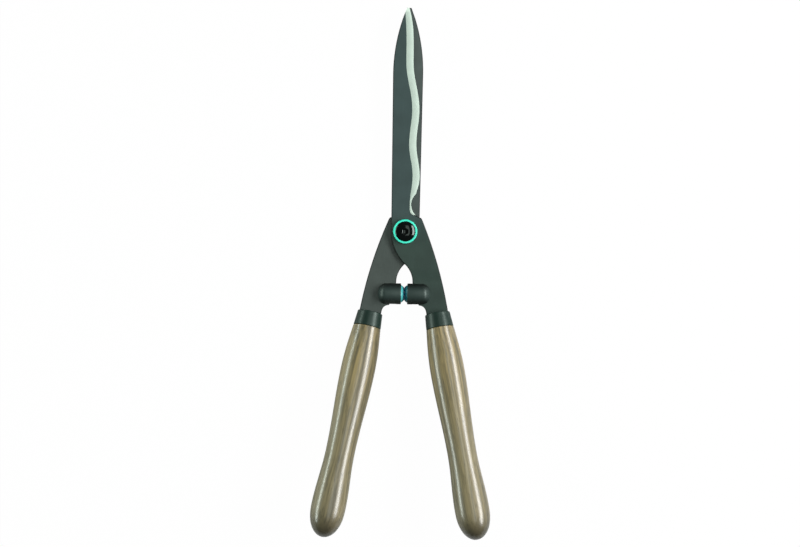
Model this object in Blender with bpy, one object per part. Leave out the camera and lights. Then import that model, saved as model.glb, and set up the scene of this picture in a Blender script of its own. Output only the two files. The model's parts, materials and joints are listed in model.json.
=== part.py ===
"""Hedge shears with wooden handles, in metres, +Z up.

The closed shears lie on their back with the tips towards +Y. The origin is the middle of the base
of their box. Both halves are modelled about the pivot: its axis is Z, and the blades slide on each
other at z = 0. The front half carries the right handle, and the rear half the left one.
"""

import math

import bmesh
import bpy
from mathutils import Matrix, Vector

# Fits
SEAT_GAP = 0.0003
BLADE_GAP = 0.0002
TURN_GAP = 0.0002

# Blade, from the pivot
BLADE_THICKNESS = 0.0035
BLADE_LENGTH = 0.2438
BLADE_HALF_WIDTH = 0.0164
HUB_HALF_WIDTH = 0.0153
TIP_LENGTH = 0.0716
TIP_HALF_WIDTH = 0.0025

# Wavy cutting edge: each turn of the wave along the blade and across it
HEEL_TROUGH_Y, HEEL_TROUGH_X = 0.024, 0.0080
FIRST_CREST_Y, FIRST_CREST_X = 0.060, 0.0140
TROUGH_Y, TROUGH_X = 0.096, 0.0096
SECOND_CREST_Y, SECOND_CREST_X = 0.132, 0.0123
WAVE_END_Y, WAVE_END_X = 0.186, 0.0049
EDGE_TIP_X = 0.0002
EDGE_TIP_POWER = 3.2

# Ground band along the edge
GRIND_WIDTH = 0.0071
EDGE_LAND = 0.0005
GRIND_TIP_DRIFT = 0.0030
GRIND_HEEL_Y, GRIND_HEEL_X = 0.030, 0.0044
GRIND_HOOK_POWER = 6
GRIND_END_ANGLE = math.radians(60)

# Round notch at the heel of the edge, for thick twigs
NOTCH_X, NOTCH_Y = 0.0214, 0.0296
NOTCH_RADIUS = 0.0155
SHOULDER_ANGLE = math.radians(66)
SHOULDER_X = 0.0172
SHOULDER_ROUND = 0.0030

# Tang: the arm that runs from the hub to the handle
SIDE_BEND_X, SIDE_BEND_Y = 0.0380, -0.0335
SIDE_RADIUS = 0.460
HUB_TURN_Y = -0.0213
HUB_TURN_RADIUS = 0.048
CROTCH_TURN_Y = -0.0439
CROTCH_TURN_RADIUS = 0.0265
TANG_WIDTH = 0.0238
FOOT_LENGTH = 0.0011
FOOT_X = 0.0158
FOOT_ROUND = 0.0010
FOOT_FILLET = 0.0075
LUG_FOOT_INSET = 0.0014
SPIKE_LENGTH = 0.075
SPIKE_ROOT_WIDTH = 0.0090
SPIKE_END_WIDTH = 0.0044

# Joggle that brings both tangs to the middle plane, and crank that lifts the handles
JOGGLE_TOP_Y = -0.0385
JOGGLE_LENGTH = 0.0175
CRANK_ANGLE = math.radians(9)
CRANK_RADIUS = 0.054
CRANK_START = 0.080

# Handle axis, drawn flat: its place beside the pivot and its spread
HANDLE_X = 0.0193
HANDLE_SPREAD = math.radians(11.03)

# Ferrule
FERRULE_START = 0.0905
FERRULE_LENGTH = 0.0163
FERRULE_TOP_RADIUS = 0.0137
FERRULE_END_RADIUS = 0.0150
FERRULE_ROUND = 0.0009
FERRULE_WALL = 0.0024
TENON_RADIUS = 0.0122

# Wooden handle: lengths are measured along it from the ferrule
HANDLE_LENGTH = 0.2345
SWELL_AT = 0.0485
SWELL_RADIUS = 0.0186
WAIST_AT = 0.1390
WAIST_RADIUS = 0.0158
BULB_AT = 0.2005
BULB_RADIUS = 0.0188
BULB_FULLNESS = 2.35

# Stop buffers
BUFFER_Y = -0.0680
CAP_RADIUS = 0.0114
CAP_FACE_X = 0.0034
CAP_LENGTH = 0.0252
CAP_DOME = 0.0085
CAP_EDGE = 0.0006
CAP_WEB = 0.0014
PAD_RADIUS = 0.0096
PAD_PLUG = 0.0035
PAD_NOSE_RADIUS = 0.0068
PAD_MEETING_GAP = 0.0003

# Pivot: bolt with a domed head, coloured cup ring, washers and lock nut
RING_RADIUS = 0.0136
RING_BORE_RADIUS = 0.0108
RING_HEIGHT = 0.0034
RING_BASE = 0.0010
RING_ROUND = 0.0006
HEAD_RADIUS = 0.0105
HEAD_RIM = 0.0018
HEAD_DOME = 0.0032
SOCKET_ACROSS = 0.0068
SOCKET_DEPTH = 0.0032
NECK_RADIUS = 0.0050
NECK_ACROSS_FLATS = 0.0084
THREAD_RADIUS = 0.0040
BOLT_TAIL = 0.0006
WASHER_RADIUS = 0.0100
WASHER_THICKNESS = 0.0010
SPRING_RADIUS = 0.0085
SPRING_THICKNESS = 0.0006
SPRING_CONE = 0.0004
NUT_ACROSS_FLATS = 0.0130
NUT_HEIGHT = 0.0053
INSERT_HEIGHT = 0.0014
INSERT_RADIUS = 0.0054
INSERT_LIP = 0.0003

# Fineness
ARC_SAG = 0.00005
TIP_ARC_STEPS = 10
EDGE_STEPS = 46
NOTCH_STEPS = 14
BEND_STEPS = 6
TURN_SEGMENTS = 40

FINISHES = {
    "blade_coating": ((0.070, 0.092, 0.088), 0.45, 0.3),
    "tang_coating": ((0.075, 0.095, 0.088), 0.45, 0.3),
    "black_gloss": ((0.006, 0.007, 0.007), 0.12, 0.0),
    "turquoise_plastic": ((0.045, 0.700, 0.470), 0.35, 0.0),
    "zinc_steel": ((0.550, 0.560, 0.570), 0.30, 1.0),
    "white_nylon": ((0.750, 0.750, 0.720), 0.50, 0.0),
    "oiled_wood": ((0.235, 0.205, 0.110), 0.40, 0.0),
    "black_ferrule": ((0.015, 0.018, 0.017), 0.30, 0.2),
    "black_rubber": ((0.046, 0.060, 0.056), 0.55, 0.0),
    "turquoise_gel": ((0.070, 0.380, 0.400), 0.25, 0.0),
}


def clear_scene():
    for item in list(bpy.data.objects):
        bpy.data.objects.remove(item)


def finish_named(name):
    if name in bpy.data.materials:
        return bpy.data.materials[name]
    colour, roughness, metallic = FINISHES[name]
    material = bpy.data.materials.new(name)
    material.use_nodes = True
    shader = material.node_tree.nodes["Principled BSDF"]
    shader.inputs["Base Color"].default_value = (*colour, 1)
    shader.inputs["Roughness"].default_value = roughness
    shader.inputs["Metallic"].default_value = metallic
    return material


def empty_at(name, parent=None, place=None):
    item = bpy.data.objects.new(name, None)
    bpy.context.scene.collection.objects.link(item)
    item.parent = parent
    item.matrix_basis = place or Matrix()
    return item


def solid_from(shape, name, parent, finish):
    """An object from a bmesh, which it frees."""
    bmesh.ops.recalc_face_normals(shape, faces=shape.faces)
    mesh = bpy.data.meshes.new(name)
    shape.to_mesh(mesh)
    shape.free()
    mesh.shade_smooth()
    mesh.set_sharp_from_angle(angle=math.radians(35))
    item = bpy.data.objects.new(name, mesh)
    bpy.context.scene.collection.objects.link(item)
    item.parent = parent
    if finish:
        mesh.materials.append(finish_named(finish))
    return item


def cut(item, cutter):
    """Cuts one object with another, which stays as a hidden guide."""
    cutter.hide_render = True
    cutter.display_type = "WIRE"
    modifier = item.modifiers.new(cutter.name, "BOOLEAN")
    modifier.operation = "DIFFERENCE"
    modifier.solver = "EXACT"
    modifier.object = cutter


def turned(profile, segments=TURN_SEGMENTS):
    """A body turned about Z from (radius, height) points.

    A profile that starts on the axis ends on it too, and any other one closes on itself.
    """
    shape = bmesh.new()
    rings = []
    for radius, height in profile:
        count = segments if radius > 0 else 1
        angles = [2 * math.pi * step / segments for step in range(count)]
        places = [(radius * math.cos(a), radius * math.sin(a), height) for a in angles]
        rings.append([shape.verts.new(place) for place in places])
    pairs = list(zip(rings, rings[1:]))
    if profile[0][0] > 0:
        pairs.append((rings[-1], rings[0]))
    for low, high in pairs:
        for step in range(segments):
            after = (step + 1) % segments
            corners = [low[step % len(low)], low[after % len(low)]]
            corners += [high[after % len(high)], high[step % len(high)]]
            shape.faces.new(list(dict.fromkeys(corners)))
    return shape


def prism(outline, low, high):
    """A body with an (x, y) outline from one height to another."""
    shape = bmesh.new()
    floor = shape.faces.new([shape.verts.new((x, y, low)) for x, y in outline])
    raised = bmesh.ops.extrude_face_region(shape, geom=[floor])["geom"]
    points = [part for part in raised if isinstance(part, bmesh.types.BMVert)]
    bmesh.ops.translate(shape, verts=points, vec=(0, 0, high - low))
    return shape


def box_outline(low_x, high_x, low_y, high_y):
    return [(low_x, low_y), (high_x, low_y), (high_x, high_y), (low_x, high_y)]


def hexagon(across_flats):
    radius = across_flats / math.sqrt(3)
    return [(radius * math.cos(n * math.pi / 3), radius * math.sin(n * math.pi / 3)) for n in range(6)]


def quarter_round(radius, height, inner_radius, inner_height, steps=3):
    """Points of a quarter ellipse from an outer corner's side to its top."""
    points = []
    for step in range(steps + 1):
        angle = math.pi / 2 * step / steps
        across = inner_radius + (radius - inner_radius) * math.cos(angle)
        points.append((across, inner_height + (height - inner_height) * math.sin(angle)))
    return points


def rounded_path(corners):
    """Points of an open path whose corners, given as (point, radius), are arcs."""
    points = [corners[0][0]]
    for (before, _), (corner, radius), (after, _) in zip(corners, corners[1:], corners[2:]):
        if not radius:
            points.append(corner)
            continue
        back = (before - corner).normalized()
        ahead = (after - corner).normalized()
        half = back.angle(ahead) / 2
        centre = corner + (back + ahead).normalized() * radius / math.sin(half)
        start = corner + back * radius / math.tan(half) - centre
        sweep = math.pi - 2 * half
        if back.cross(ahead) > 0:
            sweep = -sweep
        steps = math.ceil(abs(sweep) / (2 * math.acos(1 - ARC_SAG / radius)))
        for step in range(steps + 1):
            turn = Matrix.Rotation(sweep * step / steps, 2)
            points.append(centre + turn @ start)
    points.append(corners[-1][0])
    return points


def eased(y, turns):
    """x at y on a wave with level turns at the given (y, x) points."""
    for (low_y, low_x), (high_y, high_x) in zip(turns, turns[1:]):
        if y <= high_y:
            share = (1 - math.cos(math.pi * (y - low_y) / (high_y - low_y))) / 2
            return low_x + (high_x - low_x) * share
    return turns[-1][1]


def back_edge(y):
    """x of the straight back edge and of the arc that takes it to the tip."""
    start_y = BLADE_LENGTH - TIP_LENGTH
    if y <= start_y:
        return -HUB_HALF_WIDTH - (BLADE_HALF_WIDTH - HUB_HALF_WIDTH) * y / start_y
    inset = BLADE_HALF_WIDTH - TIP_HALF_WIDTH
    radius = (TIP_LENGTH**2 + inset**2) / (2 * inset)
    return radius - BLADE_HALF_WIDTH - math.sqrt(radius**2 - (y - start_y) ** 2)


def tip_share(y):
    return max(0.0, y - WAVE_END_Y) / (BLADE_LENGTH - WAVE_END_Y)


def wavy_edge(y):
    turns = [
        (HEEL_TROUGH_Y, HEEL_TROUGH_X),
        (FIRST_CREST_Y, FIRST_CREST_X),
        (TROUGH_Y, TROUGH_X),
        (SECOND_CREST_Y, SECOND_CREST_X),
        (WAVE_END_Y, WAVE_END_X),
    ]
    return eased(y, turns) - (WAVE_END_X - EDGE_TIP_X) * tip_share(y) ** EDGE_TIP_POWER


def cutting_edge(y):
    """x of the sharp edge: the wave, or the round notch where that cuts deeper."""
    reach = NOTCH_RADIUS**2 - (y - NOTCH_Y) ** 2
    if reach <= 0:
        return wavy_edge(y)
    notch = NOTCH_X - math.sqrt(reach)
    return notch if y < NOTCH_Y else min(notch, wavy_edge(y))


def notch_point(angle):
    """Point of the notch, at an angle below its deepest point."""
    return Vector((NOTCH_X - NOTCH_RADIUS * math.cos(angle), NOTCH_Y - NOTCH_RADIUS * math.sin(angle)))


def grind_line(y):
    """x of the line where the ground band meets the flat of the blade."""
    if y >= FIRST_CREST_Y:
        turns_x = wavy_edge(min(y, WAVE_END_Y)) - GRIND_WIDTH
        return turns_x - GRIND_TIP_DRIFT * tip_share(y) ** EDGE_TIP_POWER
    if y >= GRIND_HEEL_Y:
        return eased(y, [(GRIND_HEEL_Y, GRIND_HEEL_X), (FIRST_CREST_Y, FIRST_CREST_X - GRIND_WIDTH)])
    end = notch_point(GRIND_END_ANGLE)
    share = (GRIND_HEEL_Y - y) / (GRIND_HEEL_Y - end.y)
    return GRIND_HEEL_X + (end.x - GRIND_HEEL_X) * share**GRIND_HOOK_POWER


def grind_tip_y():
    """y where the ground band reaches the back edge, close to the tip."""
    low, high = WAVE_END_Y, BLADE_LENGTH
    for _ in range(40):
        middle = (low + high) / 2
        if grind_line(middle) > back_edge(middle):
            low = middle
        else:
            high = middle
    return low


def ground_height(point):
    """Height of the ground band above the blade's inner face."""
    slope = (BLADE_THICKNESS - EDGE_LAND) / GRIND_WIDTH
    depth = slope * (point.x - grind_line(point.y))
    return BLADE_THICKNESS - min(max(depth, 0.0), BLADE_THICKNESS - EDGE_LAND)


def spaced(start, end, steps):
    return [start + (end - start) * step / steps for step in range(steps + 1)]


def handle_point(along, across):
    """Point beside the handle's axis, drawn flat."""
    sin, cos = math.sin(HANDLE_SPREAD), math.cos(HANDLE_SPREAD)
    return Vector((HANDLE_X + along * sin + across * cos, across * sin - along * cos))


def lug_x():
    """Inner side of the tang where a buffer cap sits on it."""
    return CAP_FACE_X + PAD_PLUG + SEAT_GAP + CAP_WEB + SEAT_GAP


def foot_corner(foot_y):
    """Point where the tang's inner side would meet the level of its foot."""
    sin, cos = math.sin(HANDLE_SPREAD), math.cos(HANDLE_SPREAD)
    across = -TANG_WIDTH / 2
    return handle_point((across * sin - foot_y) / cos, across)


def tang_outline():
    """Points from the end of the ground band, round the tang and up the back edge to the tip arc."""
    shoulder = notch_point(SHOULDER_ANGLE)
    end = FERRULE_START - SEAT_GAP
    half, root, point = TANG_WIDTH / 2, SPIKE_ROOT_WIDTH / 2, SPIKE_END_WIDTH / 2
    foot_y = BUFFER_Y - CAP_RADIUS - FOOT_LENGTH
    lug_low_y = BUFFER_Y - CAP_RADIUS + LUG_FOOT_INSET
    path = [
        (shoulder, 0),
        (Vector((SHOULDER_X, shoulder.y)), SHOULDER_ROUND),
        (Vector((SIDE_BEND_X, SIDE_BEND_Y)), SIDE_RADIUS),
        (handle_point(end, half), 0),
        (handle_point(end, root), 0),
        (handle_point(end + SPIKE_LENGTH, point), 0),
        (handle_point(end + SPIKE_LENGTH, -point), 0),
        (handle_point(end, -root), 0),
        (handle_point(end, -half), 0),
        (foot_corner(foot_y), FOOT_FILLET),
        (Vector((FOOT_X, foot_y)), FOOT_ROUND),
        (Vector((FOOT_X, lug_low_y)), 0),
        (Vector((lug_x(), lug_low_y)), 0),
        (Vector((lug_x(), CROTCH_TURN_Y)), CROTCH_TURN_RADIUS),
        (Vector((-HUB_HALF_WIDTH, HUB_TURN_Y)), HUB_TURN_RADIUS),
        (Vector((-HUB_HALF_WIDTH, 0)), 0),
        (Vector((-BLADE_HALF_WIDTH, BLADE_LENGTH - TIP_LENGTH)), 0),
    ]
    notch = [notch_point(angle) for angle in spaced(GRIND_END_ANGLE, SHOULDER_ANGLE, 2)]
    return notch[:-1] + rounded_path(path)


def flat_blade():
    """The front half's plate before it is bent, with its inner face at z = 0."""
    tip_y = grind_tip_y()
    end = notch_point(GRIND_END_ANGLE)
    notch_top = NOTCH_Y + NOTCH_RADIUS * math.sin(GRIND_END_ANGLE)
    rungs = spaced(tip_y, notch_top, EDGE_STEPS) + spaced(notch_top, end.y, NOTCH_STEPS)[1:]
    arc_start = BLADE_LENGTH - TIP_LENGTH
    lower = tang_outline()
    lower += [Vector((back_edge(y), y)) for y in spaced(arc_start, tip_y, TIP_ARC_STEPS)[1:]]
    line = [Vector((grind_line(y), y)) for y in rungs[1:-1]]
    tip = [Vector((back_edge(y), y)) for y in spaced(tip_y, BLADE_LENGTH, 2)[1:]]
    tip.append(Vector((cutting_edge(BLADE_LENGTH), BLADE_LENGTH)))
    tip += [Vector((cutting_edge(y), y)) for y in spaced(BLADE_LENGTH, tip_y, 2)[1:-1]]
    edge = [Vector((cutting_edge(y), y)) for y in rungs[:-1]]

    shape = bmesh.new()
    outline = lower + tip + edge
    floor = [shape.verts.new((p.x, p.y, 0)) for p in outline]
    top = [shape.verts.new((p.x, p.y, BLADE_THICKNESS)) for p in lower]
    top += [shape.verts.new((p.x, p.y, ground_height(p))) for p in tip + edge]
    inner = [shape.verts.new((p.x, p.y, BLADE_THICKNESS)) for p in line]
    shape.faces.new(floor)
    for step in range(len(outline)):
        after = (step + 1) % len(outline)
        shape.faces.new((floor[step], floor[after], top[after], top[step]))
    shape.faces.new(top[: len(lower)] + inner)
    tip_start, edge_start = len(lower) - 1, len(lower) + len(tip)
    shape.faces.new(top[tip_start : edge_start + 1])
    left = [top[tip_start], *inner, top[0]]
    right = [*top[edge_start:], top[0]]
    for step in range(len(left) - 1):
        corners = [left[step], right[step], right[step + 1], left[step + 1]]
        shape.faces.new(list(dict.fromkeys(corners)))
    bmesh.ops.triangulate(shape, faces=shape.faces)
    return shape


def joggled(y, side):
    """Height added to a tang so that it ends on the middle plane."""
    share = min(max((JOGGLE_TOP_Y - y) / JOGGLE_LENGTH, 0.0), 1.0)
    return -side * (BLADE_THICKNESS + BLADE_GAP) / 2 * share**2 * (3 - 2 * share)


def cranked(along, height):
    """Distance along the handle and height, once the tang is bent upwards."""
    angle = min(max((along - CRANK_START) / CRANK_RADIUS, 0.0), CRANK_ANGLE)
    straight = along - CRANK_START - CRANK_RADIUS * angle
    sin, cos = math.sin(angle), math.cos(angle)
    new_along = CRANK_START + CRANK_RADIUS * sin + straight * cos - height * sin
    return new_along, CRANK_RADIUS * (1 - cos) + straight * sin + height * cos


def make_blade(name, side, parent, finish):
    """One half's blade and tang, bent to shape. The rear half is the front one turned about Y."""
    shape = flat_blade()
    down_handle = Vector((math.sin(HANDLE_SPREAD), -math.cos(HANDLE_SPREAD), 0))
    base = Vector((HANDLE_X, 0, 0))
    planes = [(Vector((0, y, 0)), Vector((0, 1, 0)))
              for y in spaced(JOGGLE_TOP_Y, JOGGLE_TOP_Y - JOGGLE_LENGTH, BEND_STEPS)]
    planes += [(base + down_handle * (CRANK_START + CRANK_RADIUS * angle), down_handle)
               for angle in spaced(0, CRANK_ANGLE, BEND_STEPS)]
    for point, normal in planes:
        parts = shape.verts[:] + shape.edges[:] + shape.faces[:]
        bmesh.ops.bisect_plane(shape, geom=parts, dist=1e-7, plane_co=point, plane_no=normal)
    for vert in shape.verts:
        along = (vert.co - base).dot(down_handle)
        height = side * (vert.co.z + BLADE_GAP / 2) + joggled(vert.co.y, side)
        new_along, vert.co.z = cranked(along, height)
        vert.co += Vector((down_handle.x, down_handle.y, 0)) * (new_along - along)
        vert.co.x *= side
    return solid_from(shape, name, parent, finish)


def handle_frame(side):
    """Place of a handle: Z runs down it from the ferrule's top, and X lies across the tang."""
    along, height = cranked(FERRULE_START, 0)
    flat = handle_point(along, 0)
    sin, cos = math.sin(HANDLE_SPREAD), math.cos(HANDLE_SPREAD)
    lift, level = math.sin(CRANK_ANGLE), math.cos(CRANK_ANGLE)
    down = Vector((side * sin * level, -cos * level, lift))
    across = Vector((side * cos, sin, 0))
    turn = Matrix((across, down.cross(across), down)).transposed()
    return Matrix.Translation((side * flat.x, flat.y, height)) @ turn.to_4x4()


def spike_cutter(name, parent):
    """The room that the tang's spike takes in a ferrule and a handle, with its clearance."""
    room = SEAT_GAP
    root = SPIKE_ROOT_WIDTH / 2 + room
    end = SPIKE_END_WIDTH / 2 + room
    outline = [(-root, -2 * room), (root, -2 * room), (end, SPIKE_LENGTH + room), (-end, SPIKE_LENGTH + room)]
    shape = prism(outline, -BLADE_THICKNESS / 2 - room, BLADE_THICKNESS / 2 + room)
    bmesh.ops.rotate(shape, verts=shape.verts, matrix=Matrix.Rotation(math.pi / 2, 3, "X"))
    return solid_from(shape, name, parent, None)


def make_ferrule(name, parent):
    corner = FERRULE_TOP_RADIUS - FERRULE_ROUND
    bore = TENON_RADIUS + SEAT_GAP
    top = quarter_round(FERRULE_TOP_RADIUS, 0, corner, FERRULE_ROUND)
    profile = [(0, 0), *reversed(top), (FERRULE_END_RADIUS, FERRULE_LENGTH)]
    profile += [(bore, FERRULE_LENGTH), (bore, FERRULE_WALL), (0, FERRULE_WALL)]
    return solid_from(turned(profile), name, parent, "black_ferrule")


def handle_radius(along):
    """Radius of the wood at a distance from its shoulder."""
    if along <= SWELL_AT:
        rise = SWELL_RADIUS - FERRULE_END_RADIUS
        return FERRULE_END_RADIUS + rise * math.sin(math.pi / 2 * along / SWELL_AT)
    if along <= BULB_AT:
        turns = [(SWELL_AT, SWELL_RADIUS), (WAIST_AT, WAIST_RADIUS), (BULB_AT, BULB_RADIUS)]
        return eased(along, turns)
    share = min(1.0, (along - BULB_AT) / (HANDLE_LENGTH - BULB_AT))
    return BULB_RADIUS * math.sqrt(max(0.0, 1 - share**BULB_FULLNESS))


def make_handle(name, parent):
    shoulder = FERRULE_LENGTH + SEAT_GAP
    places = spaced(0, SWELL_AT, 5) + spaced(SWELL_AT, WAIST_AT, 7)[1:]
    places += spaced(WAIST_AT, BULB_AT, 6)[1:]
    for angle in spaced(0, math.pi / 2, 8)[1:-1]:
        places.append(BULB_AT + (HANDLE_LENGTH - BULB_AT) * math.sin(angle))
    profile = [(0, FERRULE_WALL + SEAT_GAP), (TENON_RADIUS, FERRULE_WALL + SEAT_GAP)]
    profile.append((TENON_RADIUS, shoulder))
    profile += [(handle_radius(place), shoulder + place) for place in places]
    profile.append((0, shoulder + HANDLE_LENGTH))
    return solid_from(turned(profile), name, parent, "oiled_wood")


def make_buffer_cap(name, parent):
    """Domed cap, turned about Z, with a bore for its pad and a slot that straddles the tang."""
    straight = CAP_FACE_X + CAP_LENGTH - CAP_DOME
    bore = PAD_RADIUS + SEAT_GAP
    depth = CAP_FACE_X + PAD_PLUG + SEAT_GAP
    profile = [(0, depth), (bore, depth), (bore, CAP_FACE_X), (CAP_RADIUS - CAP_EDGE, CAP_FACE_X)]
    profile.append((CAP_RADIUS, CAP_FACE_X + CAP_EDGE))
    profile += quarter_round(CAP_RADIUS, straight + CAP_DOME, 0, straight, steps=7)[:-1]
    profile.append((0, straight + CAP_DOME))
    return solid_from(turned(profile), name, parent, "black_rubber")


def make_slot(name, parent):
    half = BLADE_THICKNESS / 2 + SEAT_GAP
    reach = CAP_RADIUS + SEAT_GAP
    outline = box_outline(-half, half, -reach, reach)
    return solid_from(prism(outline, lug_x() - SEAT_GAP, CAP_FACE_X + CAP_LENGTH + reach), name, parent, None)


def make_buffer_pad(name, parent):
    nose = PAD_MEETING_GAP / 2
    plug = CAP_FACE_X + PAD_PLUG
    profile = [(0, nose), (PAD_NOSE_RADIUS, nose), (PAD_RADIUS, CAP_FACE_X), (PAD_RADIUS, plug), (0, plug)]
    return solid_from(turned(profile), name, parent, "turquoise_gel")


def make_half(side, words, blade_name, parent):
    """A blade with its handle, ferrule and stop buffer. Side is 1 on the right and -1 on the left."""
    blade = make_blade(blade_name, side, parent, "blade_coating" if side > 0 else "tang_coating")
    grip = empty_at(words + "_grip", parent, handle_frame(side))
    ferrule = make_ferrule(words + "_ferrule", grip)
    handle = make_handle(words + "_handle", grip)
    spike_room = spike_cutter(words + "_spike_room", grip)
    cut(ferrule, spike_room)
    cut(handle, spike_room)
    stop_place = Matrix.Translation((0, BUFFER_Y, 0)) @ Matrix.Rotation(side * math.pi / 2, 4, "Y")
    stop = empty_at(words + "_stop", parent, stop_place)
    cap = make_buffer_cap(words + "_buffer_cap", stop)
    cut(cap, make_slot(words + "_cap_slot", stop))
    pad = make_buffer_pad(words + "_buffer_pad", stop)
    return blade, [blade, ferrule, handle, cap, pad]


def flatted(radius, across_flats):
    """Outline of a round neck with two flats, which face along X."""
    reach = math.acos(across_flats / 2 / radius)
    upper = spaced(reach, math.pi - reach, 10)
    lower = spaced(math.pi + reach, 2 * math.pi - reach, 10)
    return [(radius * math.cos(angle), radius * math.sin(angle)) for angle in upper + lower]


def circle(radius, segments=TURN_SEGMENTS):
    turns = spaced(0, 2 * math.pi, segments)[:-1]
    return [(radius * math.cos(angle), radius * math.sin(angle)) for angle in turns]


def make_pivot(parent, front_blade, rear_blade):
    """Bolt, cup ring, washers and lock nut, which stay with the rear blade."""
    face = BLADE_GAP / 2 + BLADE_THICKNESS
    through = 2 * BLADE_THICKNESS
    hole = prism(circle(NECK_RADIUS + TURN_GAP), BLADE_GAP / 4, through)
    cut(front_blade, solid_from(hole, "front_pivot_hole", parent, None))
    key = flatted(NECK_RADIUS + TURN_GAP, NECK_ACROSS_FLATS + 2 * TURN_GAP)
    cut(rear_blade, solid_from(prism(key, -through, -BLADE_GAP / 4), "rear_pivot_hole", parent, None))

    ring_low = face + SEAT_GAP
    ring_top = ring_low + RING_HEIGHT
    rim = [(RING_RADIUS, ring_low)]
    rim += quarter_round(RING_RADIUS, ring_top, RING_RADIUS - RING_ROUND, ring_top - RING_ROUND)
    rim += [(RING_BORE_RADIUS, ring_top), (RING_BORE_RADIUS, ring_low + RING_BASE)]
    rim += [(NECK_RADIUS + TURN_GAP, ring_low + RING_BASE), (NECK_RADIUS + TURN_GAP, ring_low)]
    ring = solid_from(turned(rim), "pivot_ring", parent, "turquoise_plastic")

    washer_top = -face - SEAT_GAP
    spring_top = washer_top - WASHER_THICKNESS - SEAT_GAP
    nut_top = spring_top - SPRING_THICKNESS - SPRING_CONE - SEAT_GAP
    nut_low = nut_top - NUT_HEIGHT
    head_low = ring_low + RING_BASE + SEAT_GAP
    bolt = make_bolt(parent, head_low, washer_top, nut_low - BOLT_TAIL)

    hole_radius = THREAD_RADIUS + SEAT_GAP
    washer_rim = [(WASHER_RADIUS, washer_top), (WASHER_RADIUS, washer_top - WASHER_THICKNESS)]
    washer_rim += [(hole_radius, washer_top - WASHER_THICKNESS), (hole_radius, washer_top)]
    washer = solid_from(turned(washer_rim), "pivot_washer", parent, "zinc_steel")

    spring_rim = [(SPRING_RADIUS, spring_top), (SPRING_RADIUS, spring_top - SPRING_THICKNESS)]
    spring_rim += [(hole_radius, spring_top - SPRING_THICKNESS - SPRING_CONE)]
    spring_rim += [(hole_radius, spring_top - SPRING_CONE)]
    spring = solid_from(turned(spring_rim), "spring_washer", parent, "zinc_steel")

    nut = solid_from(prism(hexagon(NUT_ACROSS_FLATS), nut_low, nut_top), "lock_nut", parent, "zinc_steel")
    nut_hole = prism(circle(hole_radius), nut_low - NUT_HEIGHT, nut_top + NUT_HEIGHT)
    cut(nut, solid_from(nut_hole, "nut_hole", parent, None))
    insert_low = nut_low + INSERT_LIP
    recess = prism(circle(INSERT_RADIUS + SEAT_GAP), nut_low - NUT_HEIGHT, insert_low + INSERT_HEIGHT + SEAT_GAP)
    cut(nut, solid_from(recess, "insert_recess", parent, None))
    insert_rim = [(INSERT_RADIUS, insert_low), (INSERT_RADIUS, insert_low + INSERT_HEIGHT)]
    insert_rim += [(hole_radius, insert_low + INSERT_HEIGHT), (hole_radius, insert_low)]
    insert = solid_from(turned(insert_rim), "nut_insert", parent, "white_nylon")
    return [ring, bolt, washer, spring, nut, insert]


def make_bolt(parent, head_low, key_low, tail):
    """Domed head with a hexagon socket, a round neck with flats in the rear blade, and a threaded tail."""
    head_side = head_low + HEAD_RIM
    profile = [(0, tail), (THREAD_RADIUS, tail), (THREAD_RADIUS, key_low), (NECK_RADIUS, key_low)]
    profile += [(NECK_RADIUS, head_low), (HEAD_RADIUS, head_low)]
    profile += quarter_round(HEAD_RADIUS, head_side + HEAD_DOME, 0, head_side, steps=7)[:-1]
    profile.append((0, head_side + HEAD_DOME))
    bolt = solid_from(turned(profile), "pivot_bolt", parent, "black_gloss")
    socket_low = head_side + HEAD_DOME - SOCKET_DEPTH
    socket = prism(hexagon(SOCKET_ACROSS), socket_low, head_side + 2 * HEAD_DOME)
    cut(bolt, solid_from(socket, "bolt_socket", parent, None))
    half_flats, outside = NECK_ACROSS_FLATS / 2, 2 * NECK_RADIUS
    for side in (1, -1):
        near, far = sorted((side * half_flats, side * outside))
        flat = prism(box_outline(near, far, -outside, outside), tail - BOLT_TAIL, -BLADE_GAP / 2)
        cut(bolt, solid_from(flat, "neck_flat_right" if side > 0 else "neck_flat_left", parent, None))
    return bolt


def stand_on_origin(root, pieces):
    """Moves the root so that the origin is the middle of the base of the pieces' box."""
    bpy.context.view_layer.update()
    graph = bpy.context.evaluated_depsgraph_get()
    corners = []
    for piece in pieces:
        ready = piece.evaluated_get(graph)
        mesh = ready.to_mesh()
        corners += [ready.matrix_world @ vert.co for vert in mesh.vertices]
        ready.to_mesh_clear()
    low = [min(point[axis] for point in corners) for axis in range(3)]
    high = [max(point[axis] for point in corners) for axis in range(3)]
    root.location = (-(low[0] + high[0]) / 2, -(low[1] + high[1]) / 2, -low[2])
    bpy.context.view_layer.update()


def main():
    clear_scene()
    root = empty_at("shears")
    rear_half = empty_at("rear_half", root)
    front_half = empty_at("front_half", root)
    front_blade, front_pieces = make_half(1, "right", "front_blade", front_half)
    rear_blade, rear_pieces = make_half(-1, "left", "rear_blade", rear_half)
    pivot_pieces = make_pivot(rear_half, front_blade, rear_blade)
    stand_on_origin(root, front_pieces + rear_pieces + pivot_pieces)


main()
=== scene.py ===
"""Looks of a pair of hedge shears: finished blades, pivot, stop buffers and wooden handles."""

import json
import math

import bmesh
import bpy
from bpy.props import FloatProperty, FloatVectorProperty, IntProperty, PointerProperty
from mathutils import Matrix, Vector


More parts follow.
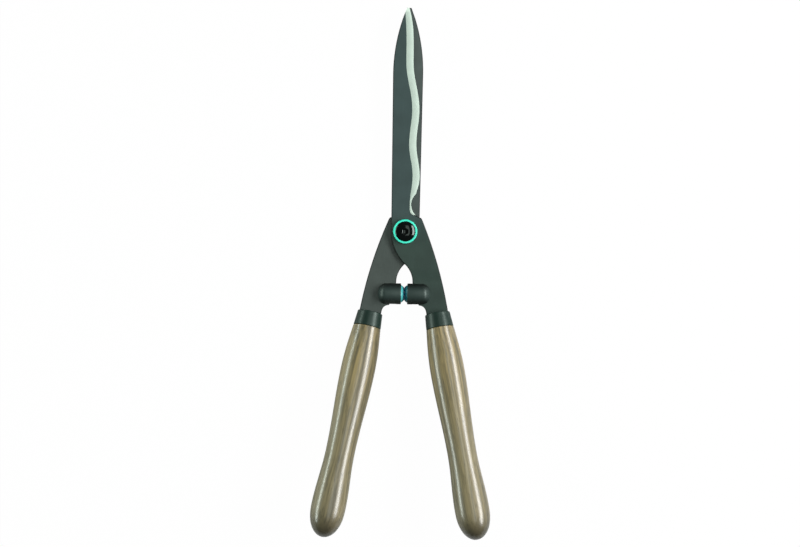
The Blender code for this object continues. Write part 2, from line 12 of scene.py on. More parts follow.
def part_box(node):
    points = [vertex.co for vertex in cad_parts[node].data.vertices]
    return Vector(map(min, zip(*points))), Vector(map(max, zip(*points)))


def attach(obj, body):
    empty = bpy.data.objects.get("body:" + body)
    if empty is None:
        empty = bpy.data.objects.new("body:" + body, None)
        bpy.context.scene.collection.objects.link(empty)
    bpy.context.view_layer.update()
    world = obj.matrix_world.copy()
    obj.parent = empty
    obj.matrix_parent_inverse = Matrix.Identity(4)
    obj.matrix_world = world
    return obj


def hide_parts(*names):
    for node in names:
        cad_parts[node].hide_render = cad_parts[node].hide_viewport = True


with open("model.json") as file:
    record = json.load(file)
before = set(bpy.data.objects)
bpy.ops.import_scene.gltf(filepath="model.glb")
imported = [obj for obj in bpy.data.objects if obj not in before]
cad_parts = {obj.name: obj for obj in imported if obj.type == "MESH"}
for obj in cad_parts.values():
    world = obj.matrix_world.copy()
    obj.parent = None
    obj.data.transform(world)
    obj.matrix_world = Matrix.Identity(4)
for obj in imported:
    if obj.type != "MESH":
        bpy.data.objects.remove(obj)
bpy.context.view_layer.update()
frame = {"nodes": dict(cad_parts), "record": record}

bl_info = {
    "name": "Hedge Shears",
    "version": (1, 0, 0),
    "blender": (4, 5, 0),
    "location": "View3D > Sidebar > Shears",
    "description": "Finished pieces and studio for a pair of hedge shears",
    "category": "Object",
}

PIVOT = Vector(frame["record"]["behaviour"]["joints"][0]["pos_m"])
PIVOT_PLACE = Matrix.Translation((PIVOT.x, PIVOT.y, 0))
REAR, FRONT = "rear_half", "front_half"
SIDES = {"left": (-1, REAR), "right": (1, FRONT)}
IMAGE_WIDTH, IMAGE_HEIGHT = 800, 547

# Material slots of a finished blade; the walls' slot carries the coating darkened into painted
# shade.
COAT, BAND, WALL = 0, 1, 2
# Upright part of a face's normal: the band lies between the two, and walls below the first.
STEEP, LEVEL = 0.80, 0.975
# Turns, in radians, up to which faces count as one wall or one flat.
WALL_TURN, FLAT_TURN = 0.1, math.radians(0.05)
# Distances within which a plate's corners are merged, or lie one above the other.
MERGE, PLUMB = 0.00013, 0.00005
# Lengths up to which edges are dissolved before and after a round.
SHORT, SPECK = 0.00004, 0.000002
# Clearances of seated and of turning pieces.
SEAT_GAP, TURN_GAP = 0.0003, 0.0002
# Chamfers and rounds of the turned pieces.
COLLAR_CHAMFER, CHAMFER, LIP, WASHER_CHAMFER = 0.0004, 0.0003, 0.0002, 0.00015
THREAD_END, HEAD_ROUND, NUT_ROUND = 0.0007, 0.00018, 0.00015
NUT_CHAMFER, NUT_LEAD, NUT_BACK = 0.0008, 0.0015, 0.0005
# Thickness of the ring's floor, rise of the spring washer and bulge of a pad.
RING_BASE, SPRING_RISE, PAD_BULGE = 0.0010, 0.0004, 0.0003
# Share of a radius at which a turned end is closed, and of the socket that the drill takes.
POINT, DRILL_SHARE = 0.02, 0.94
# How far a cutter reaches past what it cuts.
OVERCUT = 0.001
# Degrees up to which edges are shaded smooth.
SMOOTH = 32
FLOOR_DROP, VIEW_END = -0.0002, 50
NOISE_MEAN = 0.5
GREEN_SHEEN = (0.85, 1.0, 0.93)
WHITE = (1, 1, 1, 1)


def number(name, default, description, subtype="NONE", **more):
    return FloatProperty(name=name, default=default, description=description, subtype=subtype,
                         **more)


def length(name, default, description):
    return number(name, default, description, "DISTANCE", precision=5)


def angle(name, degrees, description):
    return number(name, math.radians(degrees), description, "ANGLE")


def share(name, default, description):
    return number(name, default, description, "FACTOR", min=0, max=1)


def power(name, default, description):
    return number(name, default, description, unit="POWER")


def colour(name, default, description):
    return FloatVectorProperty(name=name, default=default, description=description,
                               size=3, min=0, max=1, subtype="COLOR")


class BladeLook(bpy.types.PropertyGroup):
    """Edges and colours of the two coated blades."""
    edge_round: length("Edge round", 0.0009, "Round along the sheared edges of the plates")
    edge_sharp: angle("Edge angle", 40, "Angle past which an edge is rounded")
    band_start: length("Band start", 0.012, "Distance from the pivot past which the band lies")
    edge_reach: length("Edge reach", 0.0007, "How much wider the band is than in the solid")
    notch_end: length("Notch end", 0.041, "Distance of the notch's end from the pivot")
    notch_fade: length("Notch fade", 0.012, "Length past the notch over which the band widens")
    tip_fade: length("Tip fade", 0.020, "Length before the tip over which the band narrows")
    foot_start: length("Foot start", -0.0560, "Start of the buffer's sharp foot, from the pivot")
    foot_end: length("Foot end", -0.0845, "End of the buffer's foot, from the pivot")
    foot_reach: length("Foot reach", 0.0290, "Distance of the foot's far side from the middle")
    hole_room: length("Hole room", 0.0080, "Distance from the pivot where edges stay sharp")
    front_coat: colour("Front coating", (0.042, 0.070, 0.068), "Coating of the front blade")
    front_tang: colour("Front tang", (0.031, 0.054, 0.044), "Coating of the front half's tang")
    rear_coat: colour("Rear coating", (0.075, 0.098, 0.091), "Coating of the rear blade")
    rear_tang: colour("Rear tang", (0.061, 0.077, 0.069), "Coating of the rear half's tang")
    # Share by which the coating of the sheared edges and walls is darkened into painted shade.
    edge_shade_share: share("Edge tone", 0.18, "How pale the coating is on the sheared edges")
    ground: colour("Ground band", (0.53, 0.64, 0.56), "Bare steel of the ground band")


class HandleLook(bpy.types.PropertyGroup):
    """Turned wooden handles and the collars at their tops."""
    seat: FloatVectorProperty(name="Ferrule seat", default=(0.0366032, -0.0887701, 0.0009805),
                              size=3, subtype="TRANSLATION", precision=5,
                              description="Middle of the right ferrule's top, from the pivot")
    spread: angle("Spread", 11.03, "Angle of each handle to the blades, seen from the front")
    crank: angle("Crank", 9, "Angle that each handle is lifted out of the blades' plane")
    ferrule_length: length("Ferrule length", 0.0163, "Length of the collar")
    ferrule_top: length("Ferrule top radius", 0.01367, "Radius of the collar at the tang")
    ferrule_end: length("Ferrule end radius", 0.0150, "Radius of the collar at the wood")
    ferrule_round: length("Ferrule round", 0.0009, "Round of the collar's top edge")
    ferrule_wall: length("Ferrule wall", 0.0024, "Thickness of the collar's top")
    tenon: length("Tenon radius", 0.0122, "Radius of the wood inside the collar")
    wood_length: length("Wood length", 0.23442, "Length of the wood past the collar")
    swell_at: length("Swell place", 0.0485, "Distance of the upper swell from the collar")
    swell: length("Swell radius", 0.0186, "Radius at the upper swell")
    waist_at: length("Waist place", 0.1390, "Distance of the waist from the collar")
    waist: length("Waist radius", 0.0158, "Radius at the waist")
    bulb_at: length("Bulb place", 0.2005, "Distance of the end bulb from the collar")
    bulb: length("Bulb radius", 0.01877, "Radius of the end bulb")
    bulb_power: number("Bulb fullness", 2.35, "How full the rounded end is")
    spike_width: length("Spike width", 0.0096, "Width of the room for the tang's spike")
    spike_depth: length("Spike depth", 0.0041, "Depth of the room for the tang's spike")
    spike_length: length("Spike length", 0.0753, "Length of the room for the tang's spike")
    gold_wood: colour("Gold wood", (0.390, 0.305, 0.140), "Pale grain near the collars")
    pale_wood: colour("Pale wood", (0.295, 0.248, 0.134), "Pale grain of the stained wood")
    dark_wood: colour("Dark wood", (0.118, 0.105, 0.057), "Dark grain of the stained wood")
    ferrule_black: colour("Ferrule black", (0.009, 0.024, 0.018), "Colour of the collars")


class BufferLook(bpy.types.PropertyGroup):
    """Domed caps and gel pads that stop the handles."""
    place: length("Place", -0.0680, "Buffer axis along the blades, from the pivot")
    cap_radius: length("Cap radius", 0.0114, "Radius of a cap")
    cap_face: length("Cap face", 0.0034, "Distance of a cap's open face from the middle")
    cap_length: length("Cap length", 0.0252, "Length of a cap")
    dome: length("Dome", 0.0085, "Length of a cap's domed end")
    rim: length("Rim round", 0.0007, "Round of a cap's rim")
    pad_radius: length("Pad radius", 0.0096, "Radius of a pad where it leaves its cap")
    nose_radius: length("Nose radius", 0.0068, "Radius of a pad where the two meet")
    nose_gap: length("Nose gap", 0.00002, "Distance of a pad's nose from the middle")
    plug: length("Plug", 0.0035, "Depth of a pad inside its cap")
    slot_depth: length("Slot depth", 0.0041, "Width of the slot that straddles the tang")
    slot_start: length("Slot start", 0.0086, "Distance of the slot's end from the middle")
    cap_colour: colour("Cap colour", (0.027, 0.043, 0.039), "Colour of the caps")
    pad_colour: colour("Pad colour", (0.085, 0.480, 0.480), "Colour of the gel pads")
    # Dark colour painted as shade into the gel at the pads' seam and over the right pad.
    pad_shade_colour: colour("Pad depth", (0.000, 0.110, 0.210), "Colour of the gel where the pads meet")


class PivotLook(bpy.types.PropertyGroup):
    """Bolt, ring, washers and nut."""
    ring_radius: length("Ring radius", 0.0132, "Outer radius of the coloured ring")
    ring_bore: length("Ring bore", 0.0110, "Radius of the recess that holds the head")
    ring_round: length("Ring round", 0.0008, "Round of the ring's top edge")
    head_radius: length("Head radius", 0.0108, "Radius of the domed head")
    head_rim: length("Head rim", 0.00182, "Height of the head's side")
    head_power: number("Head fullness", 2.6, "How flat the head's dome is")
    socket: length("Socket", 0.0068, "Socket of the head, across its flats")
    socket_depth: length("Socket depth", 0.0020, "Depth of the socket")
    drill_slope: number("Drill slope", 0.53, "Slope of the socket's drilled floor")
    neck: length("Neck radius", 0.0050, "Radius of the bolt's neck")
    thread: length("Thread radius", 0.0040, "Outer radius of the bolt's thread")
    thread_pitch: length("Thread pitch", 0.00125, "Distance between the thread's turns")
    nut_flats: length("Nut", 0.0130, "Nut across its flats")
    ring_colour: colour("Ring colour", (0.060, 0.940, 0.640), "Colour of the ring")
    head_colour: colour("Head colour", (0.002, 0.003, 0.003), "Colour of the bolt")
    zinc: colour("Zinc", (0.60, 0.61, 0.62), "Plated steel of the nut and washer")
    spring: colour("Spring steel", (0.16, 0.16, 0.17), "Steel of the spring washer")
    nylon: colour("Nylon", (0.70, 0.70, 0.66), "Insert of the lock nut")


class StageLook(bpy.types.PropertyGroup):
    """Floor, lamps and camera."""
    pixel: length("Pixel", 0.00109, "Length that one pixel of the picture covers at the blades")
    pivot_column: number("Pivot column", 405.25, "Pivot in the picture, from its left", "PIXEL")
    pivot_row: number("Pivot row", 231.5, "Pivot in the picture, from its top", "PIXEL")
    roll: angle("Roll", 1.05, "Turn of the shears in the picture")
    distance: length("Camera distance", 5.0, "Camera above the blades")
    floor_size: length("Floor size", 8.0, "Side of the floor")
    floor_white: share("Floor white", 0.985, "Share of plain white in the floor")
    floor_pale: share("Floor pale", 0.92, "Grey of the floor as the camera sees it")
    floor_grey: share("Floor grey", 0.60, "Grey that the floor throws back on the shears")
    world_light: share("World light", 0.08, "Light from all round")
    key_power: power("Key power", 63, "Power of the right lamp")
    rim_power: power("Rim power", 32, "Power of the left lamp")
    top_power: power("Top power", 10.5, "Power of the upper lamp")
    lamp_distance: length("Lamp distance", 2.2, "Distance of the lamps")
    lamp_shift: length("Lamp shift", 0.45, "Middle of the lamps towards the tips")
    lamp_long: length("Lamp length", 2.4, "Length of the lamps")
    key_wide: length("Key width", 0.66, "Width of the right lamp")
    rim_wide: length("Rim width", 0.32, "Width of the left lamp")
    top_wide: length("Top width", 0.8, "Width of the upper lamp")
    key_angle: angle("Key angle", 56, "Right lamp, from straight above")
    rim_angle: angle("Rim angle", -73, "Left lamp, from straight above")
    top_angle: angle("Top angle", 12, "Upper lamp, from straight above")
    key_colour: colour("Key colour", (1.0, 1.0, 1.0), "Colour of the right lamp")
    rim_colour: colour("Rim colour", (0.90, 1.0, 0.94), "Colour of the left lamp")
    top_colour: colour("Top colour", (0.95, 1.0, 0.97), "Colour of the upper lamp")


class ShearsLook(bpy.types.PropertyGroup):
    """All sizes and colours of the shears."""
    blades: PointerProperty(type=BladeLook, name="Blades", description="Two coated blades")
    handles: PointerProperty(type=HandleLook, name="Handles", description="Wood and collars")
    buffers: PointerProperty(type=BufferLook, name="Buffers", description="Caps and pads")
    pivot: PointerProperty(type=PivotLook, name="Pivot", description="Bolt, ring, washers and nut")
    stage: PointerProperty(type=StageLook, name="Stage", description="Floor, lamps and camera")
    segments: IntProperty(name="Segments", default=72, min=12,
                          description="Sides of the turned pieces")


class Wire:
    """A shader socket that takes part in sums."""

    def __init__(self, sheet, socket):
        self.sheet = sheet
        self.socket = socket

    def math(self, operation, *values):
        inputs = dict(enumerate(values))
        return self.sheet.node("ShaderNodeMath", {"operation": operation}, inputs)

    def __abs__(self):
        return self.math("ABSOLUTE", self)

    def __add__(self, other):
        return self.math("ADD", self, other)

    def __radd__(self, other):
        return self.math("ADD", other, self)

    def __sub__(self, other):
        return self.math("SUBTRACT", self, other)

    def __rsub__(self, other):
        return self.math("SUBTRACT", other, self)

    def __mul__(self, other):
        return self.math("MULTIPLY", self, other)

    def swing(self, amount):
        """A noise's part above or below its mean, scaled."""
        return (self - NOISE_MEAN) * amount


class Finish:
    """A material whose nodes are added by expressions."""

    def __init__(self, name, **constants):
        self.material = bpy.data.materials.new(name)
        self.material.use_nodes = True
        self.tree = self.material.node_tree
        self.shader = self.tree.nodes["Principled BSDF"]
        for socket, value in constants.items():
            self.set(socket.replace("_", " "), value)

    def node(self, kind, settings=None, inputs=None, output=0):
        made = self.tree.nodes.new(kind)
        for key, value in (settings or {}).items():
            setattr(made, key, value)
        for key, value in (inputs or {}).items():
            self.join(made.inputs[key], value)
        return Wire(self, made.outputs[output])

    def join(self, socket, value):
        if isinstance(value, Wire):
            self.tree.links.new(value.socket, socket)
        else:
            socket.default_value = value

    def set(self, socket, value):
        if not isinstance(value, (Wire, int, float)):
            value = (*value, 1)
        self.join(self.shader.inputs[socket], value)

    def place(self, stretch=(1, 1, 1), origin=(0, 0, 0), turn=(0, 0, 0)):
        """Object coordinates in a piece's own frame, stretched along its axes."""
        point = self.node("ShaderNodeTexCoord", output="Object")
        point = self.node("ShaderNodeMapping", {"vector_type": "TEXTURE"},
                          {"Vector": point, "Location": origin, "Rotation": turn})
        return self.node("ShaderNodeVectorMath", {"operation": "MULTIPLY"}, {0: point, 1: stretch})

    def axis(self, point, name):
        return self.node("ShaderNodeSeparateXYZ", None, {0: point}, output=name)

    def noise(self, point, scale, detail=2.0, roughness=0.5):
        inputs = {"Vector": point, "Scale": scale, "Detail": detail, "Roughness": roughness}
        return self.node("ShaderNodeTexNoise", {"noise_dimensions": "3D"}, inputs)

    def window(self, value, low, high):
        """A value spread so that low becomes 0 and high becomes 1."""
        settings = {"interpolation_type": "SMOOTHSTEP", "clamp": True}
        inputs = {"Value": value, "From Min": low, "From Max": high}
        return self.node("ShaderNodeMapRange", settings, inputs)

    def mix(self, factor, first, second):
        pair = [value if isinstance(value, Wire) else (*value, 1) for value in (first, second)]
        settings = {"data_type": "RGBA", "clamp_factor": True}
        return self.node("ShaderNodeMix", settings, {0: factor, 6: pair[0], 7: pair[1]}, output=2)

    def vary(self, factor, tone, darkest, palest):
        """A colour that runs between two shares of itself."""
        return self.mix(factor, shade(tone, darkest), shade(tone, palest))

    def bump(self, height, distance, strength):
        inputs = {"Height": height, "Distance": distance, "Strength": strength}
        self.set("Normal", self.node("ShaderNodeBump", None, inputs))


def shade(tone, amount):
    """A colour made paler or darker by a share."""
    return tuple(min(1.0, part * amount) for part in tone)


def coated_steel(name, tone, tang_tone):
    """Sprayed non-stick coating: fine orange peel, faint cloudiness and lengthwise rub marks."""
    finish = Finish(name, Metallic=0.0, Specular_IOR_Level=0.30)
    point = finish.place()
    cloud = finish.noise(point, scale=55, detail=3)
    peel = finish.noise(point, scale=2600)
    streaks = finish.noise(finish.place(stretch=(1, 0.025, 1)), scale=1700, detail=3)
    rub = finish.window(streaks, 0.56, 0.80)
    on_blade = finish.window(finish.axis(point, "Y"), PIVOT.y - 0.015, PIVOT.y + 0.025)
    spray = finish.window(cloud, 0.3, 0.7)
    blade = finish.vary(spray, tone, 0.93, 1.07)
    tang = finish.vary(spray, tang_tone, 0.93, 1.07)
    coat = finish.mix(on_blade, tang, blade)
    finish.set("Base Color", finish.mix(rub * 0.3, coat, shade(tone, 1.6)))
    finish.set("Roughness", 0.40 + cloud * 0.10 + peel * 0.06 - rub * 0.05)
    finish.bump(peel + cloud * 0.4, distance=0.00001, strength=0.5)
    return finish.material


def ground_steel(name, tone):
    """Bare steel with fine grinding marks across the blade."""
    finish = Finish(name, Metallic=0.30, Specular_IOR_Level=0.3)
    across = finish.place(stretch=(0.06, 1, 1))
    marks = finish.noise(across, scale=2600, detail=4, roughness=0.65)
    drift = finish.noise(finish.place(), scale=90)
    grey = finish.window(marks * 0.7 + drift * 0.3, 0.3, 0.7)
    finish.set("Base Color", finish.vary(grey, tone, 0.86, 1.06))
    finish.set("Roughness", 0.55 + marks * 0.12)
    finish.bump(marks, distance=0.00001, strength=0.4)
    return finish.material


def stained_wood(name, look, place):
    """Stained ash under satin varnish, with grain along the handle and short open pores."""
    origin, turn, _ = place.decompose()
    own = {"origin": tuple(origin), "turn": tuple(turn.to_euler())}
    finish = Finish(name, Coat_Weight=1.0, Coat_Roughness=0.27, Specular_IOR_Level=0.50)

    def streaks(stretch, **kind):
        return finish.noise(finish.place((1, 1, stretch), **own), **kind)

    broad = streaks(0.035, scale=95, detail=3, roughness=0.55)
    fine = streaks(0.022, scale=520, detail=4, roughness=0.6)
    pores = finish.window(streaks(0.05, scale=1150), 0.60, 0.72)
    flecks = finish.window(streaks(0.15, scale=380, detail=1), 0.68, 0.76)
    grain = finish.window(broad * 0.5 + fine * 0.5, 0.36, 0.64)
    along = finish.axis(finish.place(**own), "Z")
    faded = finish.window(along + broad.swing(0.05), 0.05, 0.15)
    pale = finish.mix(faded, look.gold_wood, look.pale_wood)
    base = finish.mix(grain, look.dark_wood, pale)
    base = finish.mix(pores * 0.7, base, shade(look.dark_wood, 0.5))
    base = finish.mix(flecks * 0.45, base, shade(look.dark_wood, 0.5))
    end = look.ferrule_length + look.wood_length
    # Darker towards the rounded end: stain soaked into the end grain, and painted shade on the end
    # that the lamps leave unlit.
    soaked_and_shaded = finish.window(along + fine.swing(0.01), end - 0.032, end)
    finish.set("Base Color", finish.mix(soaked_and_shaded * 0.85, base, shade(look.dark_wood, 0.35)))
    finish.set("Roughness", 0.36 + pores * 0.16 - grain * 0.05)
    finish.bump(fine * 0.5 - pores, distance=0.00001, strength=0.04)
    return finish.material


def moulded(name, tone, roughness, peel_scale, coat=0.0, depth=0.00003, gloss=0.5):
    """Moulded plastic or rubber with a fine spark-eroded skin."""
    finish = Finish(name, Coat_Weight=coat, Coat_Roughness=0.12, Specular_IOR_Level=gloss,
                    Specular_Tint=GREEN_SHEEN)
    point = finish.place()
    skin = finish.noise(point, scale=peel_scale, detail=3)
    flow = finish.noise(point, scale=120)
    finish.set("Base Color", finish.vary(flow, tone, 0.85, 1.15))
    finish.set("Roughness", roughness + skin.swing(0.12) + flow.swing(0.10))
    finish.bump(skin, distance=depth, strength=0.6)
    return finish.material


def flank_shaded_plastic(name, tone, middle):
    """Satin plastic of a lying cap, with painted shade darkening its flanks above and below the
    paler crest.
    """
    finish = Finish(name, Specular_Tint=GREEN_SHEEN)
    point = finish.place()
    skin = finish.noise(point, scale=1700, detail=3)
    flow = finish.noise(point, scale=120)
    away = abs(finish.axis(point, "Y") - middle)
    # Painted shade: the colour darkens away from the crest towards the top and bottom of the cap.
    painted_shade_flank = finish.window(away + flow.swing(0.002), 0.0030, 0.0105)
    crest = finish.vary(flow, tone, 0.9, 1.1)
    finish.set("Base Color", finish.mix(painted_shade_flank, crest, shade(tone, 0.12)))
    finish.set("Roughness", 0.40 + skin.swing(0.12) + painted_shade_flank * 0.15)
    finish.bump(skin, distance=0.00003, strength=0.6)
    return finish.material


def gel(name, tone, deep, middle):
    """Clear gel with painted shade where the two pads press together, stronger over the right pad.
    """
    finish = Finish(name, Specular_IOR_Level=0.20)
    point = finish.place()
    flow = finish.noise(point, scale=260)
    across = finish.axis(point, "X")
    # Painted shade: the right pad is darkened, as if turned away from the key lamp.
    right = finish.window(across, middle, middle + 0.0006)
    skin = finish.window(abs(across - middle) + flow.swing(0.0002), 0.0004, 0.0020)
    pale = finish.vary(flow, tone, 0.9, 1.1)
    # Painted shade: the gel turns to the dark colour at the seam between the pads and over the
    # right pad.
    finish.set("Base Color", finish.mix(skin * (1 - right * 0.62), deep, pale))
    finish.set("Roughness", 0.20 + flow * 0.08)
    finish.bump(flow, distance=0.00002, strength=0.4)
    return finish.material


def plated_steel(name, tone, roughness):
    """Plated steel with cloudy crystals and fine turning marks."""
    finish = Finish(name, Metallic=1.0)
    cloud = finish.noise(finish.place(), scale=420, detail=3)
    marks = finish.noise(finish.place(stretch=(1, 1, 0.05)), scale=2400)
    finish.set("Base Color", finish.vary(cloud, tone, 0.80, 1.08))
    finish.set("Roughness", roughness + cloud * 0.12 + marks * 0.08)
    finish.bump(marks + cloud, distance=0.00002, strength=0.5)
    return finish.material


def eased(place, turns):
    """A radius on a wave with level turns at the given (place, radius) pairs."""
    for (low, start), (high, end) in zip(turns, turns[1:]):
        if place <= high:
            turn = math.pi * (place - low) / (high - low)
            return start + (end - start) * (1 - math.cos(turn)) / 2
    return turns[-1][1]


def steps_between(low, high, count):
    return [low + (high - low) * step / count for step in range(count + 1)]


def quarter(start, end, count=6):
    """(radius, height) points of a quarter round that leaves start along the height."""
    points = []
    for turn in steps_between(0, math.pi / 2, count):
        radius = end[0] + (start[0] - end[0]) * math.cos(turn)
        points.append((radius, start[1] + (end[1] - start[1]) * math.sin(turn)))
    return points


def heights(box):
    """Lowest and highest place of a node's box."""
    return box[0][2], box[1][2]


def half_width(box):
    return (box[1][0] - box[0][0]) / 2


def deselect_all():
    for item in bpy.context.selected_objects:
        item.select_set(False)


def pick(piece):
    deselect_all()
    piece.select_set(True)
    bpy.context.view_layer.objects.active = piece


def turn_piece(name, profile, place, closed=False):
    """A piece pulled ring by ring from a circle, along (radius, height) points."""
    deselect_all()
    radius, height = profile[0]
    segments = bpy.context.scene.shears.segments
    bpy.ops.mesh.primitive_circle_add(vertices=segments, radius=radius, location=(0, 0, 0),
                                      enter_editmode=True)
    bpy.ops.transform.translate(value=(0, 0, height))
    for next_radius, next_height in profile[1:]:
        rise = (0, 0, next_height - height)
        bpy.ops.mesh.extrude_edges_move(TRANSFORM_OT_translate={"value": rise})
        growth = next_radius / radius
        bpy.ops.transform.resize(value=(growth, growth, 1), center_override=(0, 0, next_height))
        radius, height = next_radius, next_height
    bpy.ops.mesh.select_all(action="DESELECT")
    bpy.ops.mesh.select_mode(type="EDGE")
    bpy.ops.mesh.select_non_manifold()
    if closed:
        bpy.ops.mesh.bridge_edge_loops()
    else:
        bpy.ops.mesh.fill_holes(sides=0)
    bpy.ops.mesh.select_all(action="SELECT")
    bpy.ops.mesh.normals_make_consistent(inside=False)
    piece = settle(place)
    piece.name = piece.data.name = "turned_" + name
    return piece


def settle(place):
    """Ends the editing of a new piece and puts it, in its mesh, where it belongs."""
    bpy.ops.object.mode_set(mode="OBJECT")
    piece = bpy.context.object
    pick(piece)
    piece.matrix_world = place
    bpy.ops.object.transform_apply(location=True, rotation=True, scale=True)
    return piece


def box_cutter(low, high, place):
    deselect_all()
    bpy.ops.mesh.primitive_cube_add(size=1, location=(0, 0, 0), enter_editmode=True)
    bpy.ops.transform.resize(value=[b - a for a, b in zip(low, high)])
    bpy.ops.transform.translate(value=[(a + b) / 2 for a, b in zip(low, high)])
    return settle(place)


def hexagon_cutter(across_flats, low, high):
    """A hexagonal prism round the pivot."""
    deselect_all()
    bpy.ops.mesh.primitive_cylinder_add(vertices=6, radius=across_flats / math.sqrt(3),
                                        depth=high - low, location=(0, 0, 0),
                                        enter_editmode=True)
    bpy.ops.transform.translate(value=(0, 0, (low + high) / 2))
    return settle(PIVOT_PLACE)


def combine(piece, cutter, operation="DIFFERENCE"):
    """Cuts or trims a piece with another, which is then deleted."""
    pick(piece)
    modifier = piece.modifiers.new("cut", "BOOLEAN")
    modifier.operation = operation
    modifier.solver = "EXACT"
    modifier.object = cutter
    bpy.ops.object.modifier_apply(modifier=modifier.name)
    bpy.data.objects.remove(cutter)


def round_edges(piece, width, sharp):
    """Rounds the edges past an angle, in degrees, after the short edges of a cut are gone."""
    drop_slivers(piece, SHORT)
    modifier = piece.modifiers.new("round", "BEVEL")
    modifier.width = width
    modifier.segments = 2
    modifier.limit_method = "ANGLE"
    modifier.angle_limit = math.radians(sharp)
    modifier.miter_outer = "MITER_ARC"
    bpy.ops.object.modifier_apply(modifier=modifier.name)
    drop_slivers(piece, SPECK)


def drop_slivers(piece, size):
    """Dissolves the edges and faces, no larger than a size, that cuts and rounds leave behind."""
    pick(piece)
    bpy.ops.object.mode_set(mode="EDIT")
    bpy.ops.mesh.select_all(action="SELECT")
    bpy.ops.mesh.dissolve_degenerate(threshold=size)
    bpy.ops.object.mode_set(mode="OBJECT")


def smooth(piece, sharp=SMOOTH):
    pick(piece)
    bpy.ops.object.shade_smooth_by_angle(angle=math.radians(sharp))


def flatten(piece):
    """Lets the large faces set the shading, so that flats stay even up to their rounded edges."""
    pick(piece)
    modifier = piece.modifiers.new("flat", "WEIGHTED_NORMAL")
    modifier.keep_sharp = True
    bpy.ops.object.modifier_apply(modifier=modifier.name)


def dress(piece, material, body, node, sharp=SMOOTH):
    """Smooths a piece, gives it its finish and body, and hides the node that it replaces."""
    smooth(piece, sharp)
    piece.data.materials.clear()
    piece.data.materials.append(material)
    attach(piece, body)
    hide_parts(node)


def handle_place(look, side):
    """Frame of a handle: Z runs down it from the ferrule's top, and X lies across the tang."""
    sin, cos = math.sin(look.spread), math.cos(look.spread)
    lift, level = math.sin(look.crank), math.cos(look.crank)
    down = Vector((side * sin * level, -cos * level, lift))
    across = Vector((side * cos, sin, 0))
    turn = Matrix((across, down.cross(across), down)).transposed()
    seat = Vector((side * look.seat[0], look.seat[1], look.seat[2]))
    return Matrix.Translation(PIVOT + seat) @ turn.to_4x4()


def spike_room(look, place):
    wide, deep = look.spike_width / 2, look.spike_depth / 2
    return box_cutter((-wide, -deep, -OVERCUT), (wide, deep, look.spike_length), place)


